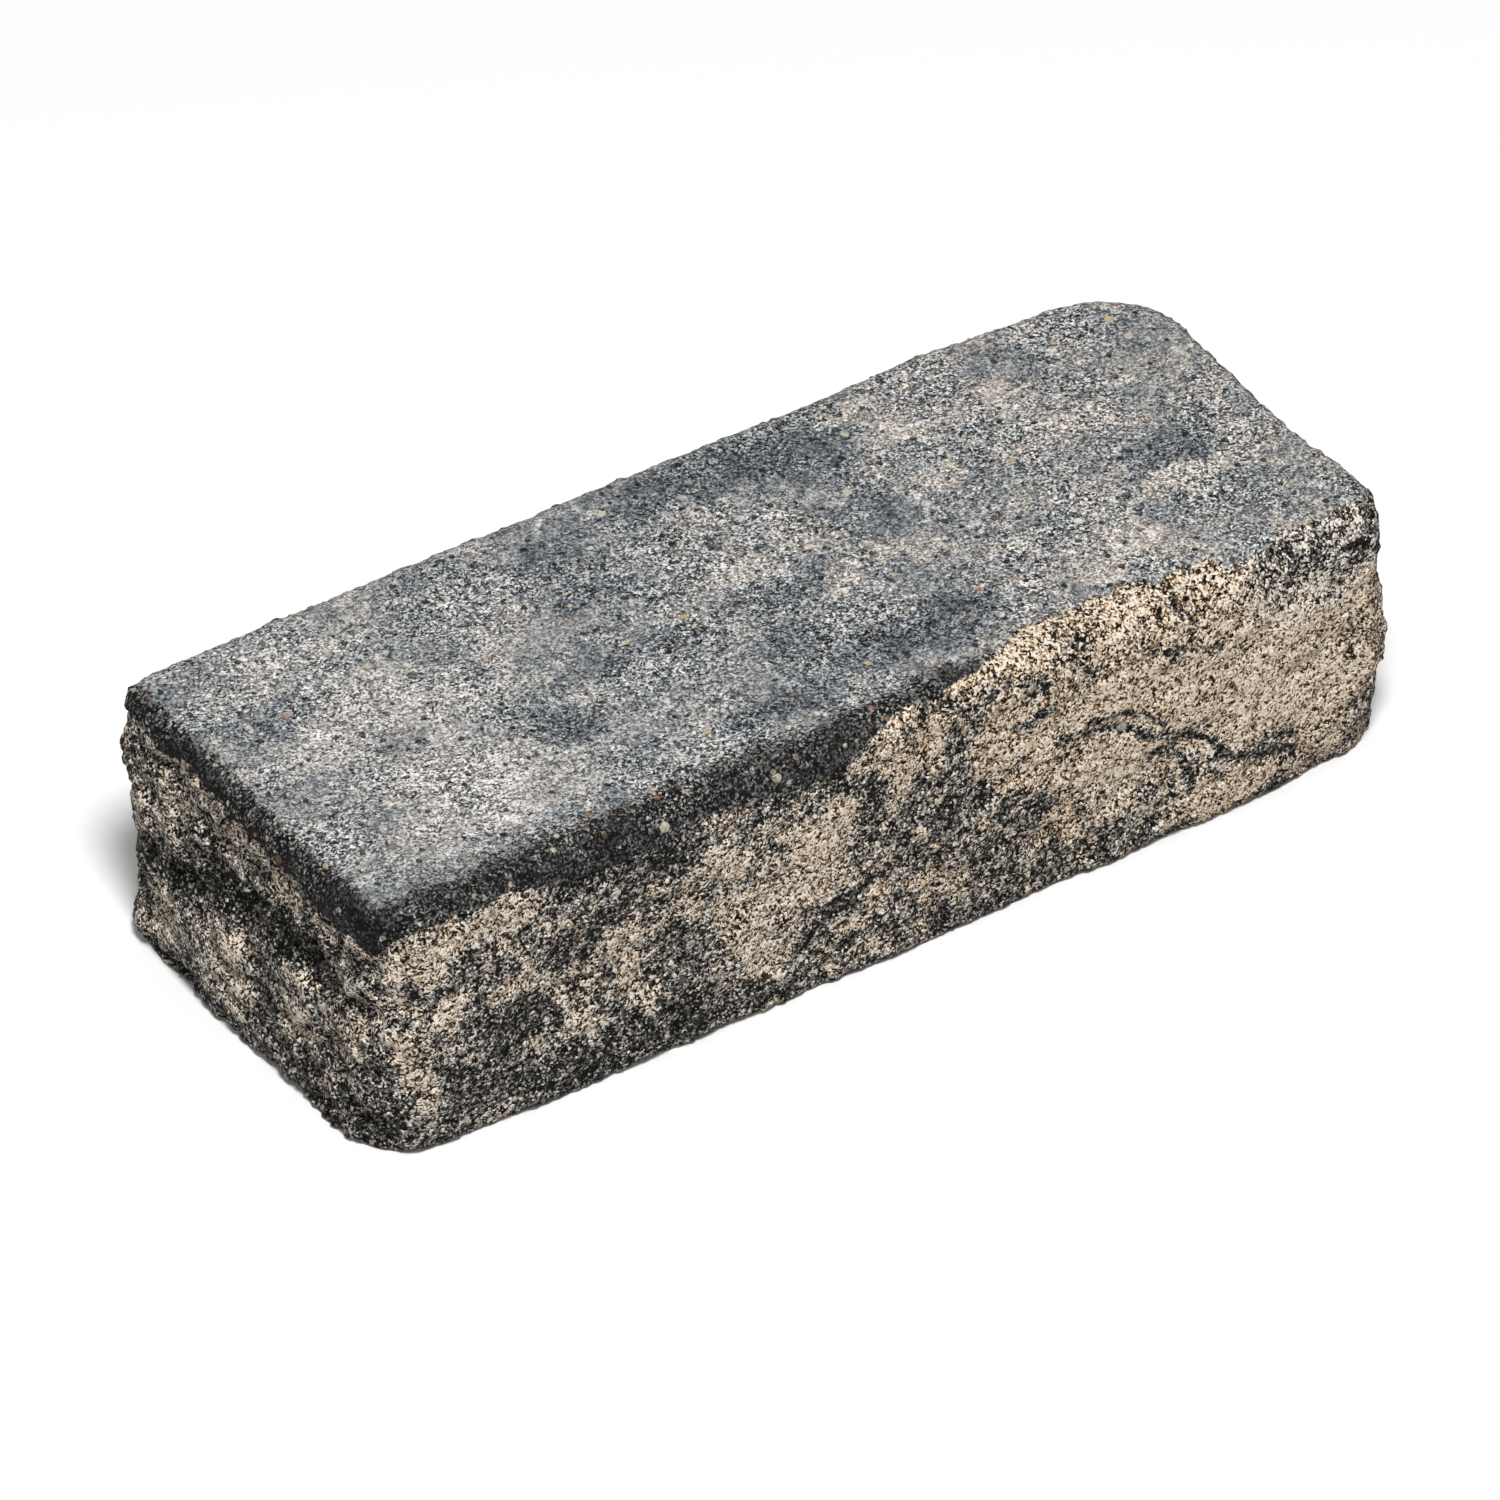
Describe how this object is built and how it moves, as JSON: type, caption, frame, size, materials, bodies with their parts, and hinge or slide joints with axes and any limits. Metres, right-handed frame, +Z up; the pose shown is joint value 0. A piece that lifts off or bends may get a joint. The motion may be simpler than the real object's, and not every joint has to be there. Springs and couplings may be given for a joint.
{
  "type": "concrete wall block",
  "caption": "Solid tumbled concrete wall block with flat beds, a split front face, torn ends and rounded arrises, for dry-laid or mortared garden walls.",
  "frame": {"origin": "middle of the lower bed, level with it", "axes": "+X along the wall, -Y out of the split front face, +Z up from the lower bed to the upper bed"},
  "size_m": [0.4043, 0.1646, 0.1],
  "materials": {
    "cast_concrete": "matte"
  },
  "bodies": {
    "root": {"block": "cast_concrete"}
  },
  "joints": []
}
